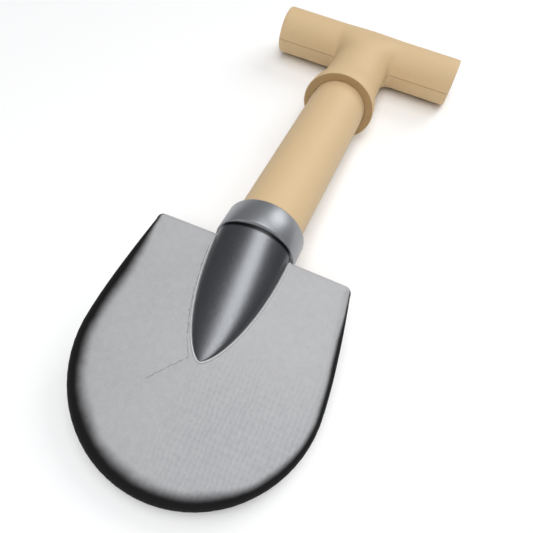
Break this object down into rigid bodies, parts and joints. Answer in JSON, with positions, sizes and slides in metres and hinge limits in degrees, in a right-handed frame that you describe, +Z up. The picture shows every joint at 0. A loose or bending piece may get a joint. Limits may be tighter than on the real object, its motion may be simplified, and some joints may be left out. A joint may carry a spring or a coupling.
{
  "type": "camp shovel",
  "caption": "Short camp shovel: round-tipped blade with a turned-down rim, tapered socket and ferrule, sleeved straight shaft and a T-shaped bar grip.",
  "frame": {"origin": "centre of the footprint, on the surface the shovel lies on", "axes": "+Z up with the back of the blade upwards, +Y from the blade towards the grip, +X along the grip's bar"},
  "size_m": [0.114, 0.307, 0.0532],
  "materials": {
    "blade_silver": "matte silver coating on pressed steel",
    "socket_grey": "satin dark grey coating on pressed steel",
    "ferrule_grey": "satin mid grey coating on steel",
    "beige_polymer": "matte moulded beige polymer",
    "plain_steel": "plain zinc-plated steel",
    "black_plastic": "moulded black plastic"
  },
  "bodies": {
    "root": {"blade": "blade_silver", "ferrule": "ferrule_grey", "ferrule_rivet": "plain_steel", "grip_lower": "beige_polymer", "grip_screw_1": "plain_steel", "grip_screw_2": "plain_steel", "grip_screw_3": "plain_steel", "grip_screw_4": "plain_steel", "grip_upper": "beige_polymer", "neck_screw": "plain_steel", "shaft_sleeve": "beige_polymer", "shaft_tube": "plain_steel", "socket_lower": "socket_grey", "socket_upper": "socket_grey", "tang": "plain_steel", "tube_cap": "black_plastic"}
  },
  "joints": []
}
